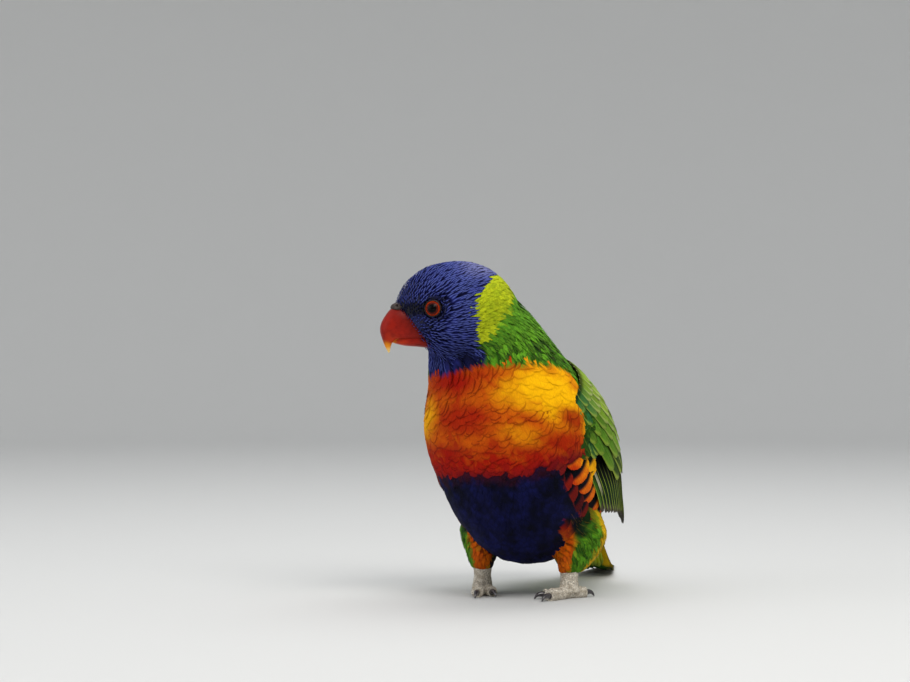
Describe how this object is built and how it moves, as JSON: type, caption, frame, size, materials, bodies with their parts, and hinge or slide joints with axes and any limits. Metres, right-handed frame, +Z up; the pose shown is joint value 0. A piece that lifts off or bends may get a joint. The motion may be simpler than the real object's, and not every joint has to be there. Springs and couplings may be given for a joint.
{
  "type": "rainbow lorikeet, still life-size model",
  "caption": "Rainbow lorikeet standing alert with its head turned aside, wings folded and its tail's end laid on the floor.",
  "frame": {"origin": "on the floor under the middle of the bird's box", "axes": "+Z up, the body faces -Y, the bird's left side is +X and its tail points to +Y"},
  "size_m": [0.096, 0.2304, 0.1671],
  "materials": {
    "head_plumage": "soft violet-blue feathers with paler shafts",
    "neck_plumage": "soft green and lime-yellow feathers",
    "body_plumage": "soft orange, yellow and navy feathers",
    "thigh_plumage": "soft green and yellow feathers",
    "wing_feathers": "smooth green flight feathers and coverts",
    "tail_feathers": "smooth dark green tail feathers with yellow inner webs",
    "bill": "smooth orange-red horn with a yellow tip",
    "cere": "bare dark grey skin",
    "eye": "wet, orange-red iris round a dark pupil",
    "foot_skin": "pale grey scaled skin",
    "claw": "dark grey horn"
  },
  "bodies": {
    "root": {"head": "head_plumage", "neck": "neck_plumage", "torso": "body_plumage", "bill_upper": "bill", "bill_lower": "bill", "cere": "cere", "tail": "tail_feathers", "eye_left": "eye", "wing_left": "wing_feathers", "thigh_left": "thigh_plumage", "foot_left": "foot_skin", "claw_left_inner_front": "claw", "claw_left_outer_front": "claw", "claw_left_outer_hind": "claw", "claw_left_inner_hind": "claw", "eye_right": "eye", "wing_right": "wing_feathers", "thigh_right": "thigh_plumage", "foot_right": "foot_skin", "claw_right_inner_front": "claw", "claw_right_outer_front": "claw", "claw_right_outer_hind": "claw", "claw_right_inner_hind": "claw"}
  },
  "joints": []
}
